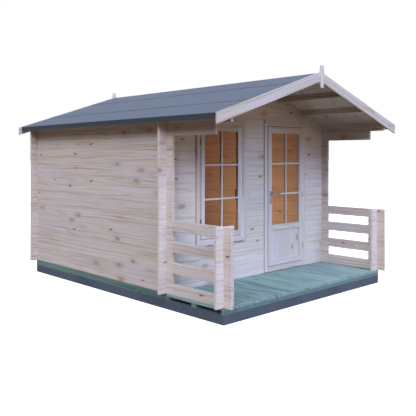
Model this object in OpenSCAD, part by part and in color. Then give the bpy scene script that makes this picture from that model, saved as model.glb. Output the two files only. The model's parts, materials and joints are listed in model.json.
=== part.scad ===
// Log cabin with a front veranda. Its walls are interlocking logs that cross at the
// corners, under a felted gable roof. It has a side-hung window, a half-glazed door
// and two log railings, and it stands on treated bearers over a base slab.
//
// X runs across the cabin and Y from front to rear. The pieces are drawn from the
// front wall's outer face (y = 0) and the underside of the lowest logs (z = 0), and
// cabin() moves that frame so that the origin is under the middle of the whole part.

/* [Logs] */
// Thickness of a wall log
log_t = 28; // [24:1:34]
// Height of one course of logs
course = 114; // [112:1:118]
// Number of courses in a side wall
side_rows = 17; // [17:1:19]
// Height of the tongue on top of a log
tongue_h = 8; // [5:1:10]
// Width of the tongue
tongue_w = 10; // [8:1:12]
// Bevel along the long edges of a log
bevel = 3; // [2:0.5:4]
// Play between two pieces that seat on each other
seat = 0.4; // [0.3:0.1:0.6]
// Length of a log's end past the wall that it crosses
log_end = 102; // [80:1:110]

/* [Plan] */
// Width of the cabin over its side walls
cabin_w = 2880; // [2800:10:3200]
// Depth of the cabin from its front wall to its rear wall
cabin_d = 2925; // [2600:5:3300]
// Depth of the veranda in front of the front wall
veranda_d = 874; // [800:1:1000]

/* [Veranda] */
// Number of courses in a railing, an odd number
rail_rows = 7; // [5:2:9]
// Length of a railing post's log towards the veranda
post_inward = 120; // [60:5:160]
// Reach of the bracket log under the eaves in front of the front wall
bracket_reach = 763; // [500:1:840]

/* [Roof] */
// Pitch of the roof in degrees
roof_pitch = 18.15; // [15:0.05:21]
// Overhang of the roof past a side wall
eaves_out = 172; // [160:1:220]
// Overhang of the roof in front of the veranda's edge
front_out = 106; // [104:1:160]
// Overhang of the roof behind the rear wall
rear_out = 113; // [112:1:180]
// Height of the boards over the top course at a side wall's outer face
plate_rise = 5; // [3:1:20]
// Thickness of the roof boards
board_t = 19; // [15:1:24]
// Thickness of the roofing felt
felt_t = 3; // [2:0.5:4]
// Lap of one strip of felt over the next
felt_lap = 75; // [50:5:120]
// Distance from the ridge to the upper seam, measured level
upper_seam = 462; // [400:1:560]
// Distance from the ridge to the lower seam, measured level
lower_seam = 1155; // [1000:1:1250]
// Thickness of an eaves board
eaves_t = 18; // [15:1:24]
// Height of the felted eaves edge
eaves_h = 61; // [50:1:80]
// Thickness of a barge board
barge_t = 18; // [15:1:24]
// Width of a barge board
barge_w = 104; // [90:1:130]
// Height of a barge board's top edge over the felt
barge_up = 8; // [4:1:20]
// Reach of a barge board past the felted eaves edge
barge_out = 39; // [20:1:60]
// Width of a purlin
purlin_w = 44; // [36:1:60]
// Depth of a purlin on its side towards the ridge
purlin_h = 70; // [60:1:90]
// Depth of the ridge purlin
ridge_h = 74; // [65:1:95]

/* [Finials] */
// Height of a finial
finial_h = 256; // [200:1:300]
// Height of a finial's tip over the ridge of the felt
finial_up = 81; // [60:1:120]
// Width of a finial at its shoulders
finial_w = 84; // [70:1:110]
// Width of a finial at its head
finial_head = 44; // [30:1:60]
// Width of a finial at its foot
finial_foot = 36; // [24:1:50]
// Thickness of a finial
finial_t = 20; // [16:1:28]

/* [Base] */
// Thickness of the base slab
slab_h = 100; // [80:5:150]
// Height of a treated bearer under the walls
bearer_h = 70; // [60:1:90]
// Width of a treated bearer under the walls
bearer_w = 58; // [50:1:80]
// Thickness of the veranda deck
deck_t = 32; // [24:1:36]
// Width of the veranda's middle bearer
mid_bearer_w = 70; // [40:1:90]
// Width of the veranda's front and back bearers
edge_bearer_w = 38; // [30:1:50]
// Thickness of the floor boards
floor_t = 18; // [16:1:22]
// Play between the floor and the walls
floor_gap = 5; // [3:1:10]
// Number of joists under the floor
joists = 6; // [4:1:8]
// Width of a floor joist
joist_w = 45; // [38:1:60]

/* [Openings] */
// Height of both frames' top edge over the lowest logs
head_z = 1914; // [1890:1:1922]
// Lap of a frame's flange over the cut ends of the logs
frame_lap = 20; // [15:1:25]
// Thickness of the web of the door frame's jambs
web_t = 38; // [30:1:40]
// Depth of the panes behind the sash's and the leaf's outer faces
pane_in = 8; // [6:1:12]

/* [Window] */
// Distance of the window's middle to the left of the cabin's middle
window_x = 613; // [560:1:660]
// Width of the window frame
window_w = 812; // [700:2:900]
// Height of the window frame's lower edge
window_z = 466; // [440:1:500]
// Thickness of the window frame's flange on the outside
window_flange = 12; // [8:1:16]
// Depth of the window frame behind the logs
window_back = 12; // [8:1:20]
// Thickness of the window frame's web
window_web = 53; // [45:1:60]
// Width of a cover board round the window
cover_w = 45; // [36:1:48]
// Thickness of a cover board
cover_t = 18; // [12:1:24]
// Play between the window's sash and its frame
sash_gap = 3; // [2:0.5:5]
// Width of the sash's stiles and rails
sash_w = 52; // [45:1:80]
// Thickness of the sash
sash_t = 36; // [30:1:44]
// Reach of the sash in front of the wall
sash_out = 24; // [18:1:28]

/* [Door] */
// Distance of the door's middle to the right of the cabin's middle
door_x = 581; // [560:1:620]
// Width of the door frame
door_w = 836; // [820:2:900]
// Height of the door frame's lower edge
door_z = 13; // [6:1:16]
// Thickness of the web of the door frame's head
head_web = 16; // [14:1:40]
// Height of the threshold's top
sill_z = 75; // [65:1:85]
// Reach of the door frame in front of the wall
frame_out = 16; // [12:1:20]
// Depth of the door frame behind the logs
frame_back = 22; // [18:1:30]
// Width of the stop behind the leaf's edge
stop_w = 14; // [10:1:18]
// Play round the door leaf
leaf_gap = 7.5; // [7:0.5:9]
// Play between the closed leaf and the stops behind it
stop_gap = 5.5; // [5.5:0.5:8]
// Thickness of the door leaf
leaf_t = 40; // [34:1:44]
// Reach of the leaf's face in front of the wall
leaf_out = 22; // [20:1:28]
// Width of the leaf's stiles
stile_w = 70; // [60:1:95]
// Width of the leaf's top rail
top_rail = 82; // [60:1:100]
// Width of the leaf's middle rail
mid_rail = 70; // [60:1:120]
// Width of the leaf's bottom rail
low_rail = 78; // [70:1:160]
// Height of the glass's lower edge over the lowest logs
glass_z = 607; // [560:1:800]
// Thickness of the lower panel
panel_t = 16; // [12:1:20]
// Number of boards in the lower panel
panel_boards = 6; // [4:1:8]
// Thickness of the board over the door
cap_t = 30; // [20:1:36]
// Height of the board over the door
cap_h = 46; // [30:1:50]

/* [Ironmongery] */
// Thickness of a pane of glass
glass_t = 4; // [3:1:6]
// Depth of the groove that holds a pane or panel
glass_seat = 9; // [6:1:14]
// Radius of a hinge's knuckle
knuckle_r = 7; // [6:0.5:8]
// Play between a hinge's knuckle and the leaf's face
hinge_play = 1.5; // [1:0.5:3]
// Radius of a hinge's pin
pin_r = 4; // [3:0.5:4.5]
// Height of a hinge
hinge_h = 74; // [60:2:100]
// Length of a hinge plate
plate_l = 14; // [12:1:30]
// Thickness of a hinge plate
plate_t = 3; // [2:0.5:4]
// Distance of an outer door hinge's middle from the leaf's end
hinge_in = 210; // [150:5:300]
// Distance of a window hinge's middle from the sash's end
sash_hinge_in = 186; // [120:1:260]
// Play between a turning part and what holds it
turn_play = 0.2; // [0.2:0.1:0.5]
// Distance of the lever's spindle from the leaf's edge
backset = 47; // [40:1:65]
// Height of the lever's spindle over the lowest logs
lever_z = 1007; // [900:1:1100]
// Length of the lever
lever_l = 128; // [100:1:140]
// Radius of the lever
lever_r = 8; // [7:0.5:10]
// Reach of the lever in front of its plate
lever_out = 44; // [38:1:55]
// Height of a lock plate
lock_h = 160; // [140:5:220]
// Width of a lock plate
lock_w = 36; // [30:1:42]
// Thickness of a lock plate
lock_t = 8; // [5:1:10]
// Share of a lock plate's height that lies under the spindle
lock_under = 0.76; // [0.6:0.02:0.8]
// Distance of the window handle's middle under the sash's middle
handle_drop = 120; // [0:10:300]
// Length of the window handle's grip
handle_l = 122; // [100:2:140]
// Width of the window handle's grip
handle_w = 18; // [14:1:22]
// Thickness of the window handle's grip
handle_t = 10; // [8:1:14]
// Reach of the window handle's grip behind its plate
handle_out = 20; // [16:1:30]

/* [Hidden] */
$fn = 48;

spruce = "burlywood";
treated = "darkseagreen";
felt_grey = "slategray";
iron = "dimgray";

// Courses: the front and rear walls start with half a log, so that the logs of
// crossing walls lie half a course apart and each gives up a quarter at the notch.
half = course / 2;
quarter = course / 4;
out_x = cabin_w / 2;
in_x = out_x - log_t;
wall_top = side_rows * course;

// Roof planes, as heights over x
slope = tan(roof_pitch);
board_v = board_t / cos(roof_pitch);
felt_v = felt_t / cos(roof_pitch);
function under(x) = wall_top + plate_rise + (out_x - abs(x)) * slope;
function board_top(x) = under(x) + board_v;
function felt_base(x) = board_top(x) + seat / 4;
function felt_top(x) = felt_base(x) + felt_v;
roof_x = out_x + eaves_out;
fold_x = roof_x + seat / 4;
felt_x = fold_x + felt_t;
barge_x = felt_x + barge_out;
roof_front = -(veranda_d + front_out);
roof_rear = cabin_d + rear_out;
roof_len = roof_rear - roof_front;

// The middle of the whole part, front to rear, and its height over the ground
middle_y = (roof_front + roof_rear) / 2;
ground_z = bearer_h + slab_h;
module cabin() translate([0, -middle_y, ground_z]) children();

// Purlins stand at the thirds between the ridge and a side wall
purlin_x = [for (i = [1, 2]) in_x * i / 3];
function purlin_low(x) = under(x - purlin_w / 2) - purlin_h;
ridge_low = under(0) - ridge_h;

// Front and rear courses: number k lies between cross_z(k) and cross_z(k + 1)
function cross_z(k) = k == 0 ? 0 : half + (k - 1) * course;
cross_rows = ceil((under(0) - half) / course) + 1;

// Cut edges of the wall in the window and the doorway
window_cut = [-window_x - window_w / 2 + frame_lap, -window_x + window_w / 2 - frame_lap];
window_cut_z = window_z + frame_lap;
door_cut = [door_x - door_w / 2 + frame_lap, door_x + door_w / 2 - frame_lap];
door_cut_z = door_z + frame_lap;
head_cut_z = head_z - frame_lap;
function rows_from(z) = [for (k = [0 : cross_rows - 1]) if (cross_z(k) >= z) k][0];
split_from = rows_from(window_cut_z);
top_from = rows_from(head_cut_z - course);
open_from = rows_from(door_cut_z);

// Clear space inside the window's and the door's frame
window_face = frame_lap + window_web;
window_in = window_w / 2 - window_face;
window_in_z = [window_z + window_face, head_z - window_face];
door_in = door_w / 2 - frame_lap - web_t;
head_in_z = head_z - frame_lap - head_web;

// Sash and leaf outlines
sash_x = window_in - sash_gap;
sash_z = [window_in_z[0] + sash_gap, window_in_z[1] - sash_gap];
leaf_x = [door_x - door_in + leaf_gap, door_x + door_in - leaf_gap];
leaf_z = [sill_z + leaf_gap, head_in_z - leaf_gap];
leaf_y = -leaf_out;
stop_y = leaf_y + leaf_t + stop_gap;
glass_y = leaf_y + pane_in;
panel_y = leaf_y + leaf_t / 2 - panel_t / 2;

// The door turns about this line, in front of the gap on its right side
hinge_x = door_x + door_in - leaf_gap / 2;
hinge_y = leaf_y - knuckle_r - hinge_play;
hinge_zs = [leaf_z[0] + hinge_in, (leaf_z[0] + leaf_z[1]) / 2, leaf_z[1] - hinge_in];
window_hinge_zs = [sash_z[0] + sash_hinge_in, sash_z[1] - sash_hinge_in];
spindle_x = leaf_x[0] + backset;

// Outline of a log across its length: u goes across it and v upwards
module log_profile(h, tongue = true, groove = true) {
    a = log_t / 2 - tongue_w / 2;
    b = log_t / 2 + tongue_w / 2;
    top = h - seat;
    polygon(concat(
        [[0, bevel], [bevel, 0]],
        groove ? [[a - seat, 0], [a - seat, tongue_h + seat], [b + seat, tongue_h + seat], [b + seat, 0]] : [],
        [[log_t - bevel, 0], [log_t, bevel], [log_t, top - bevel], [log_t - bevel, top]],
        tongue ? [[b, top], [b, top + tongue_h], [a, top + tongue_h], [a, top]] : [],
        [[bevel, top], [0, top - bevel]]));
}

// Outline of a side wall's top log, cut to the slope of the roof
module plate_profile() {
    a = log_t / 2 - tongue_w / 2;
    b = log_t / 2 + tongue_w / 2;
    polygon([[0, bevel], [bevel, 0], [a - seat, 0], [a - seat, tongue_h + seat],
        [b + seat, tongue_h + seat], [b + seat, 0], [log_t - bevel, 0], [log_t, bevel],
        [log_t, course + plate_rise + log_t * slope - seat], [0, course + plate_rise - seat]]);
}

// Extrude an outline along X or along Y, with its v upwards
module along_x(x0, x1, y, z) translate([x0, y, z]) rotate([90, 0, 90]) linear_extrude(x1 - x0) children();
module along_y(y0, y1, x, z) translate([x, y1, z]) rotate([90, 0, 0]) linear_extrude(y1 - y0) children();

// A box given by its low and high corners
module block(low, high) translate(low) cube(high - low);

// Everything under the roof boards, as long as the roof
module below_roof(y0, y1) {
    reach = out_x + 2 * log_end;
    along_y(y0, y1, 0, 0)
        polygon([[-reach, -1], [reach, -1], [reach, under(reach) - seat], [0, under(0) - seat],
            [-reach, under(reach) - seat]]);
}

// Halving notches of one log where a wall of the other direction crosses it
module notch_x(x, y, z, h, low = true, high = true) {
    side = log_t + 2 * seat;
    depth = quarter + seat / 2;
    if (low) translate([x - seat, y - 1, z - 1]) cube([side, log_t + 2, depth + 1]);
    if (high) translate([x - seat, y - 1, z + h - depth]) cube([side, log_t + 2, course]);
}
module notch_y(x, y, z, h, low = true, high = true) {
    side = log_t + 2 * seat;
    depth = quarter + seat / 2;
    if (low) translate([x - 1, y - seat, z - 1]) cube([log_t + 2, side, depth + 1]);
    if (high) translate([x - 1, y - seat, z + h - depth]) cube([log_t + 2, side, course]);
}

// ---- Base ----------------------------------------------------------------------

module base_slab() color("dimgray") cabin()
    block([-out_x, -veranda_d, -ground_z], [out_x, cabin_d, -bearer_h]);

module wall_bearers() color(treated) cabin() {
    inner = out_x - bearer_w;
    for (s = [-1, 1])
        block([s * (out_x - bearer_w / 2) - bearer_w / 2, 0, -bearer_h],
            [s * (out_x - bearer_w / 2) + bearer_w / 2, cabin_d, 0]);
    for (y = [0, cabin_d - bearer_w])
        block([-inner + seat, y, -bearer_h], [inner - seat, y + bearer_w, 0]);
}

module veranda_bearers() color(treated) cabin() {
    widths = [edge_bearer_w, mid_bearer_w, edge_bearer_w];
    starts = [-veranda_d, -(veranda_d + mid_bearer_w) / 2, -edge_bearer_w - seat];
    for (i = [0 : 2])
        block([-out_x, starts[i], -bearer_h], [out_x, starts[i] + widths[i], -deck_t]);
}

module floor_joists() color(treated) cabin() {
    inner = out_x - bearer_w - seat;
    pitch = (cabin_d - 2 * bearer_w) / (joists + 1);
    for (i = [1 : joists])
        block([-inner, bearer_w + i * pitch - joist_w / 2, -bearer_h],
            [inner, bearer_w + i * pitch + joist_w / 2, 0]);
}

module cabin_floor() color(spruce) cabin() {
    edge = log_t + floor_gap;
    block([-out_x + edge, edge, 0], [out_x - edge, cabin_d - edge, floor_t]);
}

module veranda_deck() color(treated) cabin()
    block([-out_x, -veranda_d, -deck_t], [out_x, -seat, 0]);

// ---- Side walls and railings ----------------------------------------------------

rail_tip = -(veranda_d + log_end);
function row_front(i) = (i <= rail_rows && i % 2 == 1) || i == side_rows ? rail_tip
    : i == side_rows - 1 ? -bracket_reach : -log_end;

// One log of the left side wall, counted from 1 at the bottom
module side_log(i) {
    z = (i - 1) * course;
    rail = i <= rail_rows && i % 2 == 1;
    difference() {
        along_y(row_front(i), cabin_d + log_end, -out_x, z)
            if (i == side_rows) plate_profile(); else log_profile(course);
        for (y = [0, cabin_d - log_t]) notch_y(-out_x, y, z, course);
        if (rail) notch_y(-out_x, -veranda_d, z, course);
        if (i == rail_rows)
            translate([-out_x - 1, rail_tip - 1, z + course - seat])
                cube([log_t + 2, veranda_d, tongue_h + 1]);
    }
}

// Short logs that fill the railing's post between two rails
module post_filler(i) {
    z = (i - 1) * course;
    difference() {
        along_y(rail_tip, -veranda_d + log_t + log_end, -out_x, z) log_profile(course);
        notch_y(-out_x, -veranda_d, z, course);
    }
}

module side_wall() {
    for (i = [1 : side_rows]) side_log(i);
    for (i = [2 : 2 : rail_rows - 1]) post_filler(i);
}

module left_wall() color(spruce) cabin() side_wall();
module right_wall() color(spruce) cabin() mirror([1, 0, 0]) side_wall();

// Cross logs of a railing's post
module post_logs() {
    x0 = -out_x - log_end;
    x1 = -in_x + post_inward;
    module cross_log(z, h, tongue, groove, low) difference() {
        along_x(x0, x1, -veranda_d, z) log_profile(h, tongue, groove);
        notch_x(-out_x, -veranda_d, z, h, low, tongue);
    }
    cross_log(0, half, true, false, false);
    for (k = [1 : rail_rows - 1]) cross_log(cross_z(k), course, true, true, true);
    cross_log(cross_z(rail_rows), half, false, true, true);
}

module left_post() color(spruce) cabin() post_logs();
module right_post() color(spruce) cabin() mirror([1, 0, 0]) post_logs();

// ---- Front and rear walls --------------------------------------------------------

// A stretch of course k of a front or rear wall, whose outer face is at y
module cross_stretch(k, x0, x1, y) {
    z = cross_z(k);
    h = k == 0 ? half : course;
    capped = z + h > under(out_x + log_end) - 1;
    module plain() difference() {
        along_x(x0, x1, y, z) log_profile(h, true, k > 0);
        for (s = [-out_x, in_x])
            if (x0 < s && x1 > s + log_t) notch_x(s, y, z, h, k > 0, z + h < wall_top);
    }
    if (capped) difference() {
        intersection() {
            plain();
            below_roof(y - 1, y + log_t + 1);
        }
        purlin_pockets(y);
    }
    else plain();
}

// Pockets that let the purlins through a gable
module purlin_pockets(y) {
    side = purlin_w / 2 + seat;
    block([-side, y - 1, ridge_low - seat], [side, y + log_t + 1, under(0) + 1]);
    for (s = [-1, 1]) for (x = purlin_x)
        block([s * x - side, y - 1, purlin_low(x) - seat], [s * x + side, y + log_t + 1, under(0)]);
}

full_x = out_x + log_end;

module rear_wall() color(spruce) cabin()
    for (k = [0 : cross_rows - 1]) cross_stretch(k, -full_x, full_x, cabin_d - log_t);

module front_openings() {
    block([window_cut[0], -1, window_cut_z], [window_cut[1], log_t + 1, head_cut_z]);
    block([door_cut[0], -1, door_cut_z], [door_cut[1], log_t + 1, head_cut_z]);
}

module front_wall_below() color(spruce) cabin() difference() {
    union() {
        cross_stretch(0, -full_x, full_x, 0);
        for (k = [1 : split_from - 1]) cross_stretch(k, -full_x, door_cut[0], 0);
    }
    front_openings();
}

module front_wall_left() color(spruce) cabin()
    for (k = [split_from : top_from - 1]) cross_stretch(k, -full_x, window_cut[0], 0);

module front_wall_middle() color(spruce) cabin()
    for (k = [split_from : top_from - 1]) cross_stretch(k, window_cut[1], door_cut[0], 0);

module front_wall_right() color(spruce) cabin()
    for (k = [open_from : top_from - 1]) cross_stretch(k, door_cut[1], full_x, 0);

module front_wall_top() color(spruce) cabin() difference() {
    for (k = [top_from : cross_rows - 1]) cross_stretch(k, -full_x, full_x, 0);
    front_openings();
}

// ---- Roof ------------------------------------------------------------------------

purlin_front = roof_front + seat;
purlin_rear = roof_rear - seat;

module ridge_purlin() color(spruce) cabin()
    along_y(purlin_front, purlin_rear, 0, 0)
        polygon([[-purlin_w / 2, ridge_low], [purlin_w / 2, ridge_low],
            [purlin_w / 2, under(purlin_w / 2) - seat], [0, under(0) - seat],
            [-purlin_w / 2, under(purlin_w / 2) - seat]]);

module purlins() color(spruce) cabin()
    for (s = [0, 1]) mirror([s, 0, 0]) for (x = purlin_x)
        along_y(purlin_front, purlin_rear, 0, 0)
            polygon([[x - purlin_w / 2, purlin_low(x)], [x + purlin_w / 2, purlin_low(x)],
                [x + purlin_w / 2, under(x + purlin_w / 2) - seat],
                [x - purlin_w / 2, under(x - purlin_w / 2) - seat]]);

module board_slope() along_y(roof_front, roof_rear, 0, 0)
    polygon([[seat / 2, under(seat / 2)], [roof_x, under(roof_x)],
        [roof_x, board_top(roof_x)], [seat / 2, board_top(seat / 2)]]);

// The strip at the eaves folds down over the eaves board
module eaves_strip() {
    x = lower_seam - felt_lap;
    along_y(roof_front, roof_rear, 0, 0)
        polygon([[x, felt_base(x)], [fold_x, felt_base(fold_x)], [fold_x, felt_top(felt_x) - eaves_h],
            [felt_x, felt_top(felt_x) - eaves_h], [felt_x, felt_top(felt_x)], [x, felt_top(x)]]);
}

// A strip that laps over the one below it, with a short step before the lap
module lapped_strip(x0, x1) {
    step = x1 - felt_lap - 2 * felt_t;
    lap = x1 - felt_lap - felt_t;
    along_y(roof_front, roof_rear, 0, 0)
        polygon([[x0, felt_base(x0)], [step, felt_base(step)], [lap, felt_top(lap) + seat],
            [x1, felt_top(x1) + seat], [x1, felt_top(x1) + seat + felt_v],
            [lap, felt_top(lap) + seat + felt_v], [step, felt_top(step)], [x0, felt_top(x0)]]);
}

module felt_slope() {
    eaves_strip();
    lapped_strip(upper_seam - felt_lap, lower_seam);
}

module roof_boards_right() color(spruce) cabin() board_slope();
module roof_boards_left() color(spruce) cabin() mirror([1, 0, 0]) board_slope();
module roof_felt_right() color(felt_grey) cabin() felt_slope();
module roof_felt_left() color(felt_grey) cabin() mirror([1, 0, 0]) felt_slope();

module ridge_felt() color(felt_grey) cabin() union() {
    lapped_strip(0, upper_seam);
    mirror([1, 0, 0]) lapped_strip(0, upper_seam);
}

module eaves_boards() color(spruce) cabin()
    for (s = [0, 1]) mirror([s, 0, 0]) along_y(roof_front, roof_rear, 0, 0)
        polygon([[roof_x - eaves_t, felt_top(felt_x) - eaves_h], [roof_x - seat, felt_top(felt_x) - eaves_h],
            [roof_x - seat, under(roof_x - seat) - seat], [roof_x - eaves_t, under(roof_x - eaves_t) - seat]]);

// One pair of barge boards, mitred at the ridge
module barge_pair(y) {
    top = felt_top(0) + barge_up;
    drop = barge_w / cos(roof_pitch);
    for (s = [0, 1]) mirror([s, 0, 0]) along_y(y, y + barge_t, 0, 0)
        polygon([[seat / 2, top - drop], [barge_x, top - drop - barge_x * slope],
            [barge_x, top - barge_x * slope], [seat / 2, top]]);
}

module barge_boards_front() color(spruce) cabin() barge_pair(roof_front - barge_t - seat);
module barge_boards_rear() color(spruce) cabin() barge_pair(roof_rear + seat);

module finial(y) {
    tip = felt_top(0) + finial_up;
    along_y(y, y + finial_t, 0, 0)
        polygon([[-finial_head / 2, tip], [-finial_w / 2, tip - finial_h / 2], [-finial_foot / 2, tip - finial_h],
            [finial_foot / 2, tip - finial_h], [finial_w / 2, tip - finial_h / 2], [finial_head / 2, tip]]);
}

module finials() color(spruce) cabin() {
    finial(roof_front - barge_t - finial_t - 2 * seat);
    finial(roof_rear + barge_t + 2 * seat);
}

// ---- Window ----------------------------------------------------------------------

// Channel sections that clasp the cut edges of the wall, with the flange at u < 0
module channel(out, back, lap, web) polygon([
    [-out, 0], [-seat, 0], [-seat, lap + seat], [log_t + seat, lap + seat], [log_t + seat, 0],
    [log_t + back, 0], [log_t + back, lap + web], [-out, lap + web]]);

// Clears a frame's uprights where the logs over and under the opening run on uncut
module uncut_logs(x, w, z0, z1)
    for (z = [[z0 - 1, z0 + frame_lap + seat], [z1 - frame_lap - seat, z1 + 1]])
        block([x - w / 2 - 1, -seat, z[0]], [x + w / 2 + 1, log_t + seat, z[1]]);

// An upright channel whose flange starts at x and whose web lies on the given side
module upright(x, side, z0, z1, out, back, web)
    translate([x, 0, z0]) linear_extrude(z1 - z0) scale([side, 1]) rotate(90) mirror([0, 1])
        channel(out, back, frame_lap, web);

module window_jambs() color(spruce) cabin() difference() {
    for (s = [-1, 1])
        upright(-window_x + s * window_w / 2, -s, window_z, head_z, window_flange, window_back, window_web);
    uncut_logs(-window_x, window_w, window_z, head_z);
}

module window_head_and_sill() color(spruce) cabin() {
    inner = window_in - seat;
    along_x(-window_x - inner, -window_x + inner, 0, window_z)
        channel(window_flange, window_back, frame_lap, window_web);
    translate([0, 0, head_z]) mirror([0, 0, 1])
        along_x(-window_x - inner, -window_x + inner, 0, 0)
            channel(window_flange, window_back, frame_lap, window_web);
}

module window_covers() color(spruce) cabin() {
    y0 = -window_flange - cover_t - seat;
    y1 = -window_flange - seat;
    x = window_w / 2;
    for (s = [-1, 1])
        block([-window_x + s * (x - cover_w / 2) - cover_w / 2, y0, window_z],
            [-window_x + s * (x - cover_w / 2) + cover_w / 2, y1, head_z]);
    for (z = [window_z, head_z - cover_w])
        block([-window_x - x + cover_w + seat, y0, z], [-window_x + x - cover_w - seat, y1, z + cover_w]);
}

sash_y = -sash_out;
sash_glass_y = sash_y + pane_in;

// The pane's outline, grown by a play for the groove that holds it
module pane(x, half_w, z0, z1, y, t, play)
    block([x - half_w - glass_seat - play, y - play, z0 - glass_seat - play],
        [x + half_w + glass_seat + play, y + t + play, z1 + glass_seat + play]);

module sash_stiles() color(spruce) cabin() difference() {
    for (s = [-1, 1])
        block([-window_x + s * (sash_x - sash_w / 2) - sash_w / 2, sash_y, sash_z[0]],
            [-window_x + s * (sash_x - sash_w / 2) + sash_w / 2, sash_y + sash_t, sash_z[1]]);
    pane(-window_x, sash_x - sash_w, sash_z[0] + sash_w, sash_z[1] - sash_w, sash_glass_y, glass_t, seat);
}

module sash_rails() color(spruce) cabin() difference() {
    inner = sash_x - sash_w - seat;
    for (z = [sash_z[0], sash_z[1] - sash_w])
        block([-window_x - inner, sash_y, z], [-window_x + inner, sash_y + sash_t, z + sash_w]);
    pane(-window_x, sash_x - sash_w, sash_z[0] + sash_w, sash_z[1] - sash_w, sash_glass_y, glass_t, seat);
}

module window_glass() color("sandybrown", 0.4) cabin()
    pane(-window_x, sash_x - sash_w, sash_z[0] + sash_w, sash_z[1] - sash_w, sash_glass_y, glass_t, 0);

// A knuckle beside the sash, with one leaf on the frame and one on the sash's edge
module window_hinges() color(iron) cabin() {
    edge = -window_x - sash_x - seat / 4;
    x = edge - knuckle_r - 1;
    y = -window_flange - knuckle_r - seat / 4;
    for (z = window_hinge_zs) translate([0, 0, z - hinge_h / 2]) {
        translate([x, y, 0]) cylinder(r = knuckle_r, h = hinge_h);
        block([x - plate_l, y + knuckle_r - plate_t, 0], [x, y + knuckle_r, hinge_h]);
        block([edge - sash_gap + 1, y, 0], [edge, sash_y + sash_t - glass_seat, hinge_h]);
    }
}

// The handle is on the room's side of the sash
module window_handle() color(iron) cabin() {
    x = -window_x + sash_x - sash_w / 2;
    y = sash_y + sash_t + seat / 4;
    z = (sash_z[0] + sash_z[1]) / 2 - handle_drop;
    plate_y = y + handle_t / 2;
    block([x - handle_w * 0.8, y, z - handle_l / 4], [x + handle_w * 0.8, plate_y, z + handle_l / 4]);
    translate([x, y, z]) rotate([-90, 0, 0]) cylinder(r = handle_w * 0.4, h = handle_out + handle_t);
    block([x - handle_w / 2, plate_y + handle_out, z + handle_w - handle_l],
        [x + handle_w / 2, plate_y + handle_out + handle_t, z + handle_w]);
}

// ---- Door frame ------------------------------------------------------------------

module door_jambs() color(spruce) cabin() difference() {
    union() for (s = [-1, 1]) {
        edge = door_x + s * (door_in - stop_w / 2);
        upright(door_x + s * door_w / 2, -s, door_z, head_z, frame_out, frame_back, web_t);
        block([edge - stop_w / 2 - (s < 0 ? 1 : 0), stop_y, sill_z + stop_w + seat],
            [edge + stop_w / 2 + (s > 0 ? 1 : 0), log_t + frame_back, head_in_z - stop_w - seat]);
    }
    uncut_logs(door_x, door_w, door_z, head_z);
    block([door_x - door_w, log_t, -1], [door_x + door_w, log_t + frame_back + 1, floor_t + seat]);
}

module door_head_and_threshold() color(spruce) cabin() {
    inner = door_in - seat;
    back = log_t + frame_back;
    along_x(door_x - inner, door_x + inner, 0, 0) polygon([
        [-frame_out, door_z], [-seat, door_z], [-seat, door_cut_z + seat],
        [log_t + seat, door_cut_z + seat], [log_t + seat, floor_t + seat], [back, floor_t + seat],
        [back, sill_z + stop_w], [stop_y, sill_z + stop_w], [stop_y, sill_z], [-frame_out, sill_z]]);
    along_x(door_x - inner, door_x + inner, 0, 0) polygon([
        [-frame_out, head_z], [-seat, head_z], [-seat, head_cut_z - seat],
        [log_t + seat, head_cut_z - seat], [log_t + seat, head_z], [back, head_z],
        [back, head_in_z - stop_w], [stop_y, head_in_z - stop_w], [stop_y, head_in_z],
        [-frame_out, head_in_z]]);
}

module door_cap() color(spruce) cabin()
    block([door_x - door_w / 2, -cap_t, head_z + seat], [door_x + door_w / 2, -seat, head_z + seat + cap_h]);

// ---- Door leaf -------------------------------------------------------------------

leaf_in = [leaf_x[0] + stile_w, leaf_x[1] - stile_w];
glass_top = leaf_z[1] - top_rail;
panel_z = [leaf_z[0] + low_rail, glass_z - mid_rail];

module leaf_pane(z0, z1, y, t, play)
    pane((leaf_in[0] + leaf_in[1]) / 2, (leaf_in[1] - leaf_in[0]) / 2, z0, z1, y, t, play);

module leaf_grooves() {
    leaf_pane(glass_z, glass_top, glass_y, glass_t, seat);
    leaf_pane(panel_z[0], panel_z[1], panel_y, panel_t, seat);
}

module door_stiles() color(spruce) cabin() difference() {
    for (x = [leaf_x[0], leaf_x[1] - stile_w])
        block([x, leaf_y, leaf_z[0]], [x + stile_w, leaf_y + leaf_t, leaf_z[1]]);
    leaf_grooves();
    translate([spindle_x, leaf_y - 1, lever_z]) rotate([-90, 0, 0]) cylinder(r = lever_r + 2, h = leaf_t + 2);
}

module door_rails() color(spruce) cabin() difference() {
    for (z = [[leaf_z[0], low_rail], [panel_z[1], mid_rail], [glass_top, top_rail]])
        block([leaf_in[0] + seat, leaf_y, z[0]], [leaf_in[1] - seat, leaf_y + leaf_t, z[0] + z[1]]);
    leaf_grooves();
}

// Upright boards with a V joint between each two
module door_panel() color(spruce) cabin() difference() {
    leaf_pane(panel_z[0], panel_z[1], panel_y, panel_t, 0);
    pitch = (leaf_in[1] - leaf_in[0]) / panel_boards;
    for (i = [1 : panel_boards - 1]) for (y = [panel_y, panel_y + panel_t])
        translate([leaf_in[0] + i * pitch, y, panel_z[0] - glass_seat - 1]) rotate(45)
            translate([-bevel, -bevel, 0]) cube([2 * bevel, 2 * bevel, panel_z[1] - panel_z[0] + 2 * glass_seat + 2]);
}

module door_glass() color("sandybrown", 0.4) cabin()
    leaf_pane(glass_z, glass_top, glass_y, glass_t, 0);

// ---- Door hinges and lock --------------------------------------------------------

// A knuckle's arm and plate, which lie on the face at y on the given side of the pin
module hinge_wing(side, y, z0, z1) translate([hinge_x, 0, z0]) scale([side, 1, 1]) {
    back = y - seat / 4;
    block([knuckle_r - plate_t, hinge_y, 0], [knuckle_r, back, z1 - z0]);
    block([knuckle_r - plate_t, back - plate_t, 0], [plate_l, back, z1 - z0]);
}

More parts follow.
